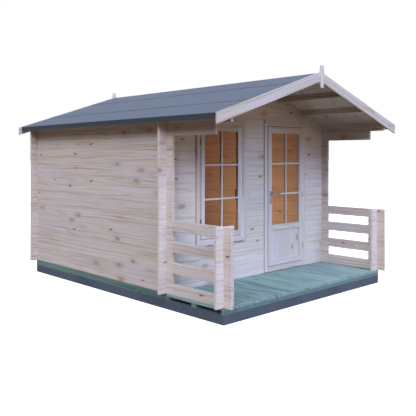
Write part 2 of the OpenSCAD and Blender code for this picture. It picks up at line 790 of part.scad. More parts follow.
// The lower knuckle and its pin stay on the jamb
module door_hinge_pins() color("silver") cabin() for (z = hinge_zs) {
    low = z - hinge_h / 2;
    translate([hinge_x, hinge_y, low]) cylinder(r = knuckle_r, h = hinge_h / 2 - turn_play);
    translate([hinge_x, hinge_y, low]) cylinder(r = pin_r, h = hinge_h - 4);
    hinge_wing(1, -frame_out, low, z - turn_play);
}

// The upper knuckle turns with the leaf
module door_hinge_leaves() color("silver") cabin() for (z = hinge_zs) difference() {
    union() {
        translate([hinge_x, hinge_y, z]) cylinder(r = knuckle_r, h = hinge_h / 2);
        hinge_wing(-1, leaf_y, z, z + hinge_h / 2);
    }
    translate([hinge_x, hinge_y, z - 1]) cylinder(r = pin_r + turn_play / 2, h = hinge_h / 2 - 3 + 1);
}

// A plate on each face of the leaf, with the lever's neck through it
module lock_plates() color("silver") cabin() difference() {
    for (y = [leaf_y - lock_t - seat / 4, leaf_y + leaf_t + seat / 4])
        block([spindle_x - lock_w / 2, y, lever_z - lock_h * lock_under],
            [spindle_x + lock_w / 2, y + lock_t, lever_z + lock_h * (1 - lock_under)]);
    translate([spindle_x, leaf_y - leaf_t, lever_z]) rotate([-90, 0, 0])
        cylinder(r = lever_r + turn_play, h = 3 * leaf_t);
}

module lever_arm() {
    rotate([-90, 0, 0]) cylinder(r = lever_r, h = lever_out + lock_t);
    rotate([0, 90, 0]) cylinder(r = lever_r, h = lever_l);
    sphere(r = lever_r);
    translate([lever_l, 0, 0]) sphere(r = lever_r);
}

module door_lever() color("silver") cabin() translate([spindle_x, 0, lever_z]) {
    translate([0, leaf_y - lock_t - lever_out, 0]) lever_arm();
    translate([0, leaf_y + leaf_t + lock_t + lever_out, 0]) mirror([0, 1, 0]) lever_arm();
    translate([0, leaf_y - lock_t, 0]) rotate([-90, 0, 0])
        cylinder(r = lever_r - 2, h = leaf_t + 2 * lock_t);
}

base_slab();
wall_bearers();
veranda_bearers();
floor_joists();
cabin_floor();
veranda_deck();
left_wall();
right_wall();
rear_wall();
front_wall_below();
front_wall_left();
front_wall_middle();
front_wall_right();
front_wall_top();
left_post();
right_post();
ridge_purlin();
purlins();
roof_boards_left();
roof_boards_right();
roof_felt_left();
roof_felt_right();
ridge_felt();
eaves_boards();
barge_boards_front();
barge_boards_rear();
finials();
window_jambs();
window_head_and_sill();
window_covers();
sash_stiles();
sash_rails();
window_glass();
window_hinges();
window_handle();
door_jambs();
door_head_and_threshold();
door_cap();
door_stiles();
door_rails();
door_panel();
door_glass();
door_hinge_pins();
door_hinge_leaves();
lock_plates();
door_lever();
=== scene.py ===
"""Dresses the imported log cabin: boards, glazing bars, screws, finishes, studio and camera.

Every length is in metres, in the frame of the CAD: X to the right, Y to the rear, Z up.
"""

import json
import logging
import math
from dataclasses import dataclass, field, replace
from enum import Enum
from functools import cache, partial, reduce

import bmesh
import bpy
from mathutils import Euler, Matrix, Vector

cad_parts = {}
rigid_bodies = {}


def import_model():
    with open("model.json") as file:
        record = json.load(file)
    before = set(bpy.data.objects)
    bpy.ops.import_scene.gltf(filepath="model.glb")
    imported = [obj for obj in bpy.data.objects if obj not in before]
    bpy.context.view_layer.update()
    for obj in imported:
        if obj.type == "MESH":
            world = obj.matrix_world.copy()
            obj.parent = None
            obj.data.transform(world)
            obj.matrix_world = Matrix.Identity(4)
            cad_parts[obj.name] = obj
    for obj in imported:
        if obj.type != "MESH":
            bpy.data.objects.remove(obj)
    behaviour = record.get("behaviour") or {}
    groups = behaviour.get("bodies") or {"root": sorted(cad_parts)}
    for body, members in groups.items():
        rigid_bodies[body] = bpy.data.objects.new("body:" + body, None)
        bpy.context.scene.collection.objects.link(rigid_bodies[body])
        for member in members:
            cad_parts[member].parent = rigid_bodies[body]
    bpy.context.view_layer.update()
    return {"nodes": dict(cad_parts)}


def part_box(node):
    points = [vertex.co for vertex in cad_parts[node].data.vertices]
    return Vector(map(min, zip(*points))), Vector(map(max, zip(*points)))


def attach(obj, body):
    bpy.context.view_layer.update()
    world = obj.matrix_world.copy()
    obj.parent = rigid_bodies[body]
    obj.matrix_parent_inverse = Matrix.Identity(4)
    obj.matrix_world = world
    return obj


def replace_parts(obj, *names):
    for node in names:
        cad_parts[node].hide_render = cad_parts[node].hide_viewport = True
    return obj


LOG = logging.getLogger("log_cabin")

Shade = tuple[float, float, float]
Point = tuple[float, float, float]
Node = bpy.types.Node
Socket = bpy.types.NodeSocket
Sockets = dict[str, Socket]
Value = Socket | float | tuple[float, ...]

WHITE: Shade = (1.0, 1.0, 1.0)


class Grain(Enum):
    """The direction that the fibres of a piece of timber run in."""

    ALONG_X = "x"
    ALONG_Y = "y"
    ALONG_Z = "z"


class Stand(Enum):
    """The way that the width of a board goes."""

    UPRIGHT = "upright"
    LEVEL = "level"


@dataclass(frozen=True)
class Palette:
    """The colours of one kind of wood: plain, in its streaks and in its knots."""

    pale: Shade = (0.548, 0.496, 0.488)
    dark: Shade = (0.365, 0.268, 0.224)
    knot: Shade = (0.10, 0.048, 0.032)


class Wood(Enum):
    """The kinds of wood on the cabin, with lit and shaded copies of the log wood that carry painted
    light and shade.
    """

    LOGS = Palette()
    # Paler than LOGS: painted light on the right wall, whose faces in view lie in shade
    RIGHT_LOGS_PAINTED_LIGHTER = Palette(pale=(0.585, 0.52, 0.50))
    # Paler and cooler than LOGS: painted cool light on the front wall
    FRONT_LOGS_PAINTED_COOL_LIGHT = Palette((0.572, 0.537, 0.553), (0.40, 0.325, 0.30))
    # Paler than LOGS: painted light on the posts and the finials
    POSTS_PAINTED_LIGHTER = Palette((0.605, 0.555, 0.565), (0.455, 0.36, 0.33))
    PLANED = Palette((0.52, 0.49, 0.515), (0.375, 0.31, 0.30))
    CEILING = Palette(pale=(0.61, 0.54, 0.51))
    # Darker than LOGS: painted shade on the purlins under the roof
    PURLINS_PAINTED_SHADE = Palette((0.47, 0.40, 0.36), (0.28, 0.19, 0.14))
    BARGES = Palette((0.53, 0.50, 0.525), (0.37, 0.30, 0.28))
    FLOOR = Palette((0.60, 0.36, 0.22), (0.42, 0.23, 0.13))
    DECK = Palette((0.245, 0.35, 0.35), (0.075, 0.14, 0.145), (0.05, 0.07, 0.07))
    BEARERS = Palette((0.105, 0.17, 0.155), (0.045, 0.09, 0.085), (0.012, 0.02, 0.02))
    VERANDA_BEARERS = Palette((0.12, 0.20, 0.205), (0.07, 0.12, 0.125), (0.012, 0.02, 0.02))


# ---- Shader graphs ----


class Graph:
    """Adds nodes to one shader tree and joins them."""

    def __init__(self, tree: bpy.types.NodeTree) -> None:
        """Keeps the tree that the nodes go into."""
        self.tree = tree

    def add(self, kind: str, **settings: object) -> Node:
        """Adds one node.

        Args:
            kind: The node's type, such as ShaderNodeMath.
            **settings: Properties to set on it.

        Returns:
            The new node.
        """
        node = self.tree.nodes.new(kind)
        for name, value in settings.items():
            setattr(node, name, value)
        return node

    def find(self, kind: str) -> Node:
        """Finds the tree's first node whose type starts with a word."""
        return next(node for node in self.tree.nodes if node.type.startswith(kind))

    def feed(self, socket: Socket, value: Value) -> None:
        """Joins a socket to another one, or sets its value.

        Args:
            socket: The input socket.
            value: An output socket, or a plain value; a colour gets an alpha of one.
        """
        if isinstance(value, Socket):
            self.tree.links.new(value, socket)
        elif socket.type == "RGBA":
            socket.default_value = (*value, 1.0)
        else:
            socket.default_value = value

    def fill(self, node: Node, *values: Value, **named: Value) -> Node:
        """Feeds the inputs of a node.

        Args:
            node: The node.
            *values: Values for its first inputs, in order.
            **named: Values by the input's name, with _ for a space in it.

        Returns:
            The same node.
        """
        for socket, value in zip(node.inputs, values):
            self.feed(socket, value)
        for name, value in named.items():
            self.feed(node.inputs[name.replace("_", " ")], value)
        return node

    def math(self, operation: str, *values: Value, clamp: bool = False) -> Socket:
        """Does a sum with one to three numbers, kept between 0 and 1 if it is clamped."""
        node = self.add("ShaderNodeMath", operation=operation, use_clamp=clamp)
        return self.fill(node, *values).outputs[0]

    def between(self, share: Value, low: float, high: float) -> Socket:
        """Goes from a low number to a high one with a share."""
        return self.math("MULTIPLY_ADD", share, high - low, low)

    def nudge(self, base: Value, noise: Socket, amount: float) -> Socket:
        """Moves a number up and down with a noise that lies round a half."""
        return self.math("MULTIPLY_ADD", self.math("SUBTRACT", noise, 0.5), amount, base)

    def most(self, *values: Socket) -> Socket:
        """Gives the largest of some numbers."""
        return reduce(partial(self.math, "MAXIMUM"), values)

    def squared(self, distance: Socket, unit: Socket, units: float) -> Socket:
        """Gives the square of a distance, over a number of units."""
        share = self.math("DIVIDE", distance, self.math("MULTIPLY", unit, units))
        return self.math("POWER", share, 2.0)

    def combine(self, x: Value, y: Value, z: Value) -> Socket:
        """Makes a vector of three numbers."""
        return self.fill(self.add("ShaderNodeCombineXYZ"), x, y, z).outputs[0]

    def split(self, vector: Socket) -> list[Socket]:
        """Takes a vector apart into its three numbers."""
        return list(self.fill(self.add("ShaderNodeSeparateXYZ"), vector).outputs)

    def here(self) -> Socket:
        """Gives the place on the object."""
        return self.add("ShaderNodeTexCoord").outputs["Object"]

    def noise(self, place: Socket, scale: float, detail: float, rough: float = 0.5) -> Socket:
        """Reads a noise of a frequency, with a number of finer layers and their share."""
        named = {"Vector": place, "Scale": scale, "Detail": detail, "Roughness": rough}
        return self.fill(self.add("ShaderNodeTexNoise"), **named).outputs["Fac"]

    def random(self, first: Socket, second: Socket) -> tuple[Socket, list[Socket]]:
        """Makes random numbers from a pair of numbers.

        Args:
            first: A number.
            second: Another one.

        Returns:
            One random number, and a list of three others.
        """
        node = self.add("ShaderNodeTexWhiteNoise", noise_dimensions="2D")
        made = self.fill(node, self.combine(first, second, 0.0)).outputs
        return made["Value"], self.split(made["Color"])

    def spread(
        self, value: Socket, low: float, high: float, to_low: float = 0.0, to_high: float = 1.0
    ) -> Socket:
        """Stretches a value smoothly from one range to another and keeps it in it."""
        node = self.add("ShaderNodeMapRange", clamp=True, interpolation_type="SMOOTHSTEP")
        return self.fill(node, value, low, high, to_low, to_high).outputs[0]

    def blend(self, share: Value, first: Value, second: Value, how: str = "MIX") -> Socket:
        """Blends two colours.

        Args:
            share: The share of the second colour.
            first: A colour's socket, or a colour.
            second: The same.
            how: The blend type.

        Returns:
            The blended colour's socket.
        """
        node = self.add("ShaderNodeMix", data_type="RGBA", blend_type=how)
        colours = [socket for socket in node.inputs if socket.type == "RGBA"]
        for socket, value in zip([node.inputs["Factor"], *colours], (share, first, second)):
            self.feed(socket, value)
        return next(socket for socket in node.outputs if socket.type == "RGBA")

    def tint(self, share: Socket, colour: Socket, shade: Shade) -> Socket:
        """Multiplies a share of a colour by a shade."""
        return self.blend(share, colour, self.blend(1.0, colour, shade, "MULTIPLY"))

    def coat(
        self, shader: Node, made: Sockets, depth: float, strength: float, **named: Value
    ) -> None:
        """Feeds a shader a roughness, a relief of a depth in metres, and what else is named."""
        bump = self.fill(self.add("ShaderNodeBump"), strength, depth, Height=made["Height"])
        self.fill(shader, Roughness=made["Roughness"], Normal=bump.outputs["Normal"], **named)

    def seen(self) -> Socket:
        """Tells the rays that show a surface from those that light others."""
        path = self.add("ShaderNodeLightPath").outputs
        return self.most(path["Is Camera Ray"], path["Is Glossy Ray"], path["Is Transmission Ray"])

    def show(self, share: Socket, first: Node, second: Node) -> None:
        """Sends two shaders to the tree's output, with a share of the second."""
        mix = self.fill(self.add("ShaderNodeMixShader"), share, first.outputs[0], second.outputs[0])
        self.fill(self.find("OUTPUT"), Surface=mix.outputs[0])


class Effect:
    """A shader node group that several materials use."""

    title = "effect"
    takes: dict[str, str] = {}
    gives: dict[str, str] = {}

    @classmethod
    @cache
    def tree(cls) -> bpy.types.NodeTree:
        """Makes the group the first time, and gives the same one after that.

        Returns:
            The group's node tree.
        """
        tree = bpy.data.node_groups.new(cls.title, "ShaderNodeTree")
        for way, sockets in (("INPUT", cls.takes), ("OUTPUT", cls.gives)):
            for name, kind in sockets.items():
                tree.interface.new_socket(name=name, in_out=way, socket_type=f"NodeSocket{kind}")
        graph = Graph(tree)
        start, end = graph.add("NodeGroupInput"), graph.add("NodeGroupOutput")
        graph.fill(end, **cls.build(graph, {name: start.outputs[name] for name in cls.takes}))
        return tree

    @classmethod
    def build(cls, graph: Graph, given: Sockets) -> Sockets:
        """Lays the group's nodes between its inputs and its outputs."""
        raise NotImplementedError

    @classmethod
    def place(cls, graph: Graph, **values: Value) -> Sockets:
        """Puts the group in a material with its inputs by name, and gives its outputs."""
        return graph.fill(graph.add("ShaderNodeGroup", node_tree=cls.tree()), **values).outputs


@dataclass(frozen=True)
class Fibres:
    """A noise drawn out along the grain, with its frequencies along it and across it."""

    along: float
    across: float
    detail: float = 2.0
    rough: float = 0.5
    shift: float = 0.0

    def lay(self, graph: Graph, along: Socket, across: Socket, depth: Socket) -> Socket:
        """Reads the noise at a place in a board."""
        place = graph.combine(
            graph.math("MULTIPLY", along, self.along),
            graph.math("MULTIPLY", across, self.across),
            graph.math("MULTIPLY_ADD", depth, self.across, self.shift),
        )
        return graph.noise(place, 1.0, self.detail, self.rough)


@dataclass(frozen=True)
class KnotMarks:
    """What a knot does to a spot of wood, as shares."""

    core: Socket
    halo: Socket
    swirl: Socket
    sound: Socket
    cover: Socket


class TimberGrain(Effect):
    """Planed softwood: faint rings and streaks that bend round knots, board by board."""

    title = "timber grain"
    takes = {
        "Along": "Float", "Across": "Float", "Depth": "Float", "Board": "Float",
        "Seed": "Float", "Knots": "Float", "Contrast": "Float",
        "Pale": "Color", "Dark": "Color", "Knot": "Color",
    }
    gives = {"Color": "Color", "Height": "Float", "Roughness": "Float"}

    # Knots: places as shares of a pitch or a board, sizes in metres, edges in radii
    knot_pitch = 0.47
    knot_along = (0.2, 0.8)
    knot_across = (0.22, 0.78)
    dark_knots = 0.52
    dark_size = (0.009, 0.015)
    sound_extra = (0.006, 0.016)
    sound_tint: Shade = (2.7, 2.9, 3.0)
    slant = (-0.25, 0.25)
    core_edge = (1.2, 0.55)
    halo_edge = (3.4, 0.7)
    halo_share = 0.34
    cover = (0.68, 0.93)
    sound_cover = -0.30

    # Streaks: each band is the range of a noise, and the shares that it gives
    ring_count = 15.0
    ring_bend = 0.22
    ring_band = (0.58, 1.0)
    fade_band = (0.36, 0.66, 0.04, 0.48)
    broad_band = (0.48, 0.72, 0.0, 0.50)
    fine_band = (0.38, 0.72, 0.0, 0.34)
    sway = 0.035

    # Tones: how far each noise makes the wood lighter or cooler
    board_light = 0.07
    board_hue = 0.05
    fade_light = -0.10
    hue_cool = 0.36
    sway_cool = 0.22

    # Layers of noise, and the roughness that the finest of them gives
    hills = Fibres(0.36, 9.0, detail=1.5, rough=0.4)
    fade = Fibres(0.8, 12.0)
    broad = Fibres(0.5, 44.0)
    hue = Fibres(0.7, 26.0, detail=1.0, shift=5.0)
    fine = Fibres(2.2, 190.0, rough=0.6)
    roughness = (0.58, 0.70)

    @classmethod
    def knots(cls, graph: Graph, given: Sockets, along: Socket, row: Socket) -> KnotMarks:
        """Lays one chance of a knot in each stretch of a board.

        Args:
            graph: The group's graph.
            given: The group's inputs by name.
            along: The place along the grain.
            row: The board's number.

        Returns:
            What the knots do to the wood.
        """
        math, between = graph.math, graph.between
        cell = math("FLOOR", math("DIVIDE", along, cls.knot_pitch))
        chance, spot = graph.random(math("MULTIPLY_ADD", cell, 1.71, given["Seed"]), row)
        kind, odds = graph.random(math("MULTIPLY_ADD", row, 2.37, given["Seed"]), cell)
        shown = math("LESS_THAN", chance, given["Knots"])
        sound = math("GREATER_THAN", kind, cls.dark_knots)

        # The distances from the knot's middle, and its radius
        centre = math("ADD", cell, between(spot[0], *cls.knot_along))
        centre = math("MULTIPLY", centre, cls.knot_pitch)
        middle = math("ADD", row, between(spot[1], *cls.knot_across))
        middle = math("MULTIPLY", middle, given["Board"])
        far = math("SUBTRACT", along, centre)
        aside = math("SUBTRACT", given["Across"], middle)
        small, extra = between(spot[2], *cls.dark_size), between(odds[0], *cls.sound_extra)
        size = math("MULTIPLY_ADD", sound, extra, small)

        # A dark knot is a slanting spike, and a sound one an oval disc
        slant = math("MULTIPLY_ADD", far, between(odds[1], *cls.slant), aside)
        width = math("DIVIDE", math("ABSOLUTE", slant), math("MULTIPLY", size, 0.8))
        spike = math("ADD", width, graph.squared(far, size, 3.0))
        oval = math("ADD", graph.squared(aside, size, 1.0), graph.squared(far, size, 2.1))
        reach = math("MULTIPLY_ADD", math("SUBTRACT", math("SQRT", oval), spike), sound, spike)
        around = math("ADD", graph.squared(far, size, 8.0), graph.squared(aside, size, 2.6))
        return KnotMarks(
            core=math("MULTIPLY", shown, graph.spread(reach, *cls.core_edge)),
            halo=math("MULTIPLY", shown, graph.spread(reach, *cls.halo_edge)),
            swirl=math("MULTIPLY", shown, graph.spread(around, 1.0, 0.0)),
            sound=sound,
            cover=math("MULTIPLY_ADD", sound, cls.sound_cover, between(odds[2], *cls.cover)),
        )

    @classmethod
    def build(cls, graph: Graph, given: Sockets) -> Sockets:
        """Lays the rings, streaks, tones and knots.

        Args:
            graph: The group's graph.
            given: The group's inputs by name.

        Returns:
            The colour, the height and the roughness by name.
        """
        math, spread = graph.math, graph.spread
        row = math("FLOOR", math("DIVIDE", given["Across"], given["Board"]))
        tone, parts = graph.random(row, given["Seed"])
        along = math("MULTIPLY_ADD", parts[0], 7.3, given["Along"])
        knot = cls.knots(graph, given, along, row)

        # The growth rings are the contours of a stretched noise
        where = graph.combine(math("MULTIPLY", along, 0.9), given["Across"], tone)
        sway = graph.noise(where, 2.0, 1.0)
        depth = math("MULTIPLY_ADD", parts[1], 0.9, given["Depth"])
        place = (along, graph.nudge(given["Across"], sway, cls.sway), depth)
        level = math("MULTIPLY_ADD", knot.swirl, cls.ring_bend, cls.hills.lay(graph, *place))
        rings = math("PINGPONG", math("MULTIPLY", level, cls.ring_count), 1.0)
        fade, broad, hue, fine = (
            layer.lay(graph, *place) for layer in (cls.fade, cls.broad, cls.hue, cls.fine)
        )
        streak = math("MULTIPLY", spread(rings, *cls.ring_band), spread(fade, *cls.fade_band))
        streak = math("ADD", streak, spread(broad, *cls.broad_band))
        streak = math("ADD", streak, spread(fine, *cls.fine_band))
        streak = math("MULTIPLY", streak, given["Contrast"], clamp=True)
        wood = graph.blend(streak, given["Pale"], given["Dark"])

        # Each board has its own tone, a little warmer or cooler than the next
        light = graph.nudge(graph.nudge(1.0, parts[2], cls.board_light), fade, cls.fade_light)
        cool = graph.nudge(graph.nudge(light, tone, cls.board_hue), hue, cls.hue_cool)
        cool = graph.nudge(cool, sway, cls.sway_cool)
        wood = graph.blend(1.0, wood, graph.combine(light, light, cool), "MULTIPLY")
        wood = graph.blend(math("MULTIPLY", knot.halo, cls.halo_share), wood, given["Dark"])
        russet = graph.tint(knot.sound, given["Knot"], cls.sound_tint)
        wood = graph.blend(math("MULTIPLY", knot.core, knot.cover), wood, russet)
        height = math("MULTIPLY_ADD", fine, 0.6, math("MULTIPLY", streak, -0.4))
        height = math("MULTIPLY_ADD", knot.core, -0.5, height)
        return {"Color": wood, "Height": height, "Roughness": graph.between(fine, *cls.roughness)}


class Granules(Effect):
    """Fine grains over broad, faint clouds, for felt and concrete."""

    title = "granules"
    takes = {"Vector": "Vector", "Pale": "Color", "Dark": "Color", "Clouds": "Float"}
    gives = TimberGrain.gives

    grain_scale = 420.0
    fleck_scale = 90.0
    cloud_scale = 1.6
    roughness = (0.80, 0.94)

    @classmethod
    def build(cls, graph: Graph, given: Sockets) -> Sockets:
        """Lays the grains and the clouds.

        Args:
            graph: The group's graph.
            given: The group's inputs by name.

        Returns:
            The colour, the height and the roughness by name.
        """
        grains = graph.noise(given["Vector"], cls.grain_scale, 2.0, 0.7)
        flecks = graph.noise(given["Vector"], cls.fleck_scale, 3.0, 0.6)
        clouds = graph.noise(given["Vector"], cls.cloud_scale, 3.0)
        clouds = graph.spread(clouds, 0.35, 0.65, -0.5, 0.5)
        share = graph.spread(grains, 0.35, 0.65, 0.0, 0.45)
        share = graph.math("ADD", share, graph.spread(flecks, 0.4, 0.7, 0.0, 0.3))
        share = graph.math("MULTIPLY_ADD", clouds, given["Clouds"], share, clamp=True)
        colour = graph.blend(share, given["Dark"], given["Pale"])
        rough = graph.between(flecks, *cls.roughness)
        return {"Color": colour, "Height": grains, "Roughness": rough}


# ---- Finishes ----


@dataclass(frozen=True)
class Room:
    """The inside of the cabin: half its width, and where it begins and ends."""

    half: float
    front: float
    rear: float

    @classmethod
    def read(cls, log: float = 0.028) -> "Room":
        """Reads the room from the walls' boxes, to the middle of logs of a thickness."""
        left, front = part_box("left_wall")[0][0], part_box("front_wall_below")[0][1]
        return cls(-left - log / 2, front + log / 2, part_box("rear_wall")[1][1] - log / 2)

    def mask(self, graph: Graph, place: Socket) -> Socket:
        """Tells the faces of the room, which get a painted warm shade, from the outer ones.

        Args:
            graph: The material's graph.
            place: The place on the object.

        Returns:
            A share that is 1 in the room.
        """
        x, y, _ = graph.split(place)
        within = graph.math("LESS_THAN", graph.math("ABSOLUTE", x), self.half)
        behind = graph.math("GREATER_THAN", y, self.front)
        before = graph.math("LESS_THAN", y, self.rear)
        return graph.math("MULTIPLY", within, graph.math("MULTIPLY", behind, before))


@dataclass(frozen=True)
class Tips(Room):
    """Where the logs' tips begin: past the outer faces of the walls and round the posts, where a
    painted light makes them paler.
    """

    post: float
    reach: float

    @classmethod
    def read(cls, log: float = 0.028, skin: float = 0.002) -> "Tips":
        """Reads the tips from the walls' boxes.

        Args:
            log: The logs' thickness.
            skin: How far past the walls' faces the tips begin.

        Returns:
            The tips.
        """
        low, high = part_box("left_wall")
        front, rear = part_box("front_wall_below")[0][1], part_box("rear_wall")[1][1]
        reach = high[1] - rear
        return cls(-low[0] + skin, front - skin, rear + skin, low[1] + 2 * reach + log, reach)

    def mask(self, graph: Graph, place: Socket) -> Socket:
        """Tells the tips of the logs, which get a painted light, from the rest.

        Args:
            graph: The material's graph.
            place: The place on the object.

        Returns:
            A share that is 1 on the tips.
        """
        x, y, _ = graph.split(place)
        beside = graph.math("GREATER_THAN", graph.math("ABSOLUTE", x), self.half)
        behind = graph.math("GREATER_THAN", y, self.rear)
        before = graph.math("LESS_THAN", y, self.front)
        near = graph.math("GREATER_THAN", y, self.front - self.reach)
        post = graph.math("LESS_THAN", y, self.post)
        return graph.most(graph.math("MULTIPLY", before, near), behind, post, beside)


@dataclass(frozen=True)
class Finish:
    """A surface that lays its own nodes in a material."""

    name: str

    def material(self) -> bpy.types.Material:
        """Builds the finish.

        Returns:
            The material.
        """
        material = bpy.data.materials.new(self.name)
        material.use_nodes = True
        graph = Graph(material.node_tree)
        self.lay(graph, graph.find("BSDF_PRINCIPLED"))
        return material

    def lay(self, graph: Graph, shader: Node) -> None:
        """Lays the nodes that feed the material's shader."""
        raise NotImplementedError


@dataclass(frozen=True)
class Timber(Finish):
    """Planed softwood, bare or pressure treated, in rows of boards or in one wide board."""

    grain: Grain
    stand: Stand = Stand.UPRIGHT
    wood: Wood = Wood.LOGS
    board: float = 3.0
    start: float = -1.0
    seed: float = 1.0
    knots: float = 0.22
    contrast: float = 1.0
    lean: float = 0.0
    depth: float = 0.0006
    gloss: float = 0.25
    skin: float = 0.0006
    room: Room | None = None
    tips: Tips | None = None
    sides: tuple[tuple[float, Shade], ...] = ()
    between: tuple[float, float] | None = None
    indoor_tint: Shade = (1.07, 0.535, 0.265)
    tip_painted_light: Shade = (1.09, 1.06, 1.04)

    def axes(self, graph: Graph, place: Socket) -> tuple[Socket, Socket, Socket]:
        """Sorts a place into the timber's own directions.

        Args:
            graph: The material's graph.
            place: The place's socket.

        Returns:
            The way along the grain, the way across the board and the way into it.
        """
        x, y, z = graph.split(place)
        if self.lean:
            z = graph.math("MULTIPLY_ADD", graph.math("ABSOLUTE", x), self.lean, z)
        if self.grain is Grain.ALONG_Z:
            return z, x, y
        along, side = (x, y) if self.grain is Grain.ALONG_X else (y, x)
        if self.stand is Stand.LEVEL:
            return along, side, z
        if not self.between:
            return along, z, side

        # Past the two planes the piece stands, so the ways along and across change places
        low, high = self.between
        level = graph.math("COMPARE", x, (low + high) / 2, (high - low) / 2)
        gap = graph.math("SUBTRACT", z, along)
        turn = graph.math("MULTIPLY", graph.math("SUBTRACT", 1.0, level), gap)
        return graph.math("ADD", along, turn), graph.math("SUBTRACT", z, turn), side

    def lay(self, graph: Graph, shader: Node) -> None:
        """Lays the grain and its tints.

        Args:
            graph: The material's graph.
            shader: Its Principled BSDF.
        """
        place = graph.here()
        along, across, depth = self.axes(graph, place)
        wood, across = self.wood.value, graph.math("SUBTRACT", across, self.start)
        grain = TimberGrain.place(
            graph, Along=along, Across=across, Depth=depth, Board=self.board, Seed=self.seed,
            Knots=self.knots, Contrast=self.contrast, Pale=wood.pale, Dark=wood.dark,
            Knot=wood.knot,
        )
        colour = grain["Color"]
        # The tips get a painted light that makes them paler than the walls
        if self.tips:
            colour = graph.tint(self.tips.mask(graph, place), colour, self.tip_painted_light)
        # Faces on the listed planes get a tint: painted warm shade on the frames' left sides,
        # painted light on a cover's inner side
        for plane, shade in self.sides:
            face = graph.math("COMPARE", graph.split(place)[0], plane, self.skin)
            colour = graph.tint(face, colour, shade)
        # The room's faces get a painted warm shade, for the dim room behind the glass
        if self.room:
            colour = graph.tint(self.room.mask(graph, place), colour, self.indoor_tint)
        looks = {"Base_Color": colour, "Specular_IOR_Level": self.gloss}
        graph.coat(shader, grain, self.depth, 0.5, **looks)


@dataclass(frozen=True)
class Mineral(Finish):
    """A surface of small grains: roofing felt or concrete."""

    pale: Shade
    dark: Shade
    clouds: float
    depth: float = 0.0008
    gloss: float = 0.2
    fold: float | None = None
    fold_tone_and_shade: Shade = (0.52, 0.47, 0.41)

    def lay(self, graph: Graph, shader: Node) -> None:
        """Lays the grains, and the darker tint on the fold: partly its own tone, partly painted
        shade.

        Args:
            graph: The material's graph.
            shader: Its Principled BSDF.
        """
        place = graph.here()
        grit = Granules.place(
            graph, Vector=place, Pale=self.pale, Dark=self.dark, Clouds=self.clouds
        )
        colour = grit["Color"]
        # The felt folded down over the eaves is darker: partly its own tone, partly painted shade
        if self.fold:
            aside = graph.math("ABSOLUTE", graph.split(place)[0])
            beyond = graph.math("GREATER_THAN", aside, self.fold)
            colour = graph.tint(beyond, colour, self.fold_tone_and_shade)
        looks = {"Base_Color": colour, "Specular_IOR_Level": self.gloss}
        graph.coat(shader, grit, self.depth, 0.6, **looks)


@dataclass(frozen=True)
class Glazing(Finish):
    """Clear window glass that lets daylight into the room."""

    tint: Shade = (0.92, 0.95, 0.94)
    body: float = 0.12
    roughness: float = 0.03
    ior: float = 1.45

    def lay(self, graph: Graph, shader: Node) -> None:
        """Lays clear glass over the shader's own.

        Args:
            graph: The material's graph.
            shader: Its Principled BSDF.
        """
        graph.fill(shader, Base_Color=self.tint, Roughness=self.roughness, IOR=self.ior)
        graph.fill(shader, Transmission_Weight=1.0)
        clear = graph.fill(graph.add("ShaderNodeBsdfTransparent"), Color=self.tint)
        path = graph.add("ShaderNodeLightPath").outputs
        leaving = graph.add("ShaderNodeNewGeometry").outputs["Backfacing"]
        passing = graph.most(path["Is Shadow Ray"], path["Is Diffuse Ray"], leaving)
        share = graph.math("MULTIPLY", graph.math("SUBTRACT", 1.0, passing), self.body)
        graph.show(share, clear, shader)


@dataclass(frozen=True)
class Metal(Finish):
    """Painted or satin metal for hinges, plates and levers, a little paler where it is worn."""

    shade: Shade
    metallic: float
    roughness: float
    uneven: float = 0.08
    wear: float = 1.35
    fine: float = 600.0
    broad: float = 40.0
    depth: float = 0.0002

    def lay(self, graph: Graph, shader: Node) -> None:
        """Lays the metal with its worn patches.

        Args:
            graph: The material's graph.
            shader: Its Principled BSDF.
        """
        place = graph.here()
        fine, broad = graph.noise(place, self.fine, 2.0), graph.noise(place, self.broad, 2.0)
        worn = tuple(min(1.0, part * self.wear + 0.01) for part in self.shade)
        colour = graph.blend(graph.spread(broad, 0.45, 0.7, 0.0, 0.6), self.shade, worn)
        rough = graph.between(broad, self.roughness - self.uneven, self.roughness + self.uneven)
        made = {"Height": fine, "Roughness": rough}
        graph.coat(shader, made, self.depth, 0.3, Base_Color=colour, Metallic=self.metallic)


@dataclass(frozen=True)
class FloorPaint(Finish):
    """A pale floor that keeps soft shadows, and throws warm, dim light on the cabin."""

    shade: Shade = (0.93, 0.93, 0.93)
    thrown: Shade = (0.13, 0.073, 0.026)
    lift: float = 0.42

    def lay(self, graph: Graph, shader: Node) -> None:
        """Lays what shows and what is thrown.

        Args:
            graph: The material's graph.
            shader: Its Principled BSDF.
        """
        graph.fill(shader, Base_Color=self.shade, Roughness=1.0, Specular_IOR_Level=0.0)
        dull = graph.fill(graph.add("ShaderNodeBsdfDiffuse"), Color=self.thrown)
        lift = graph.fill(graph.add("ShaderNodeEmission"), Color=WHITE, Strength=self.lift)
        both = graph.fill(graph.add("ShaderNodeAddShader"), shader.outputs[0], lift.outputs[0])
        graph.show(graph.seen(), dull, both)


# ---- Meshes ----


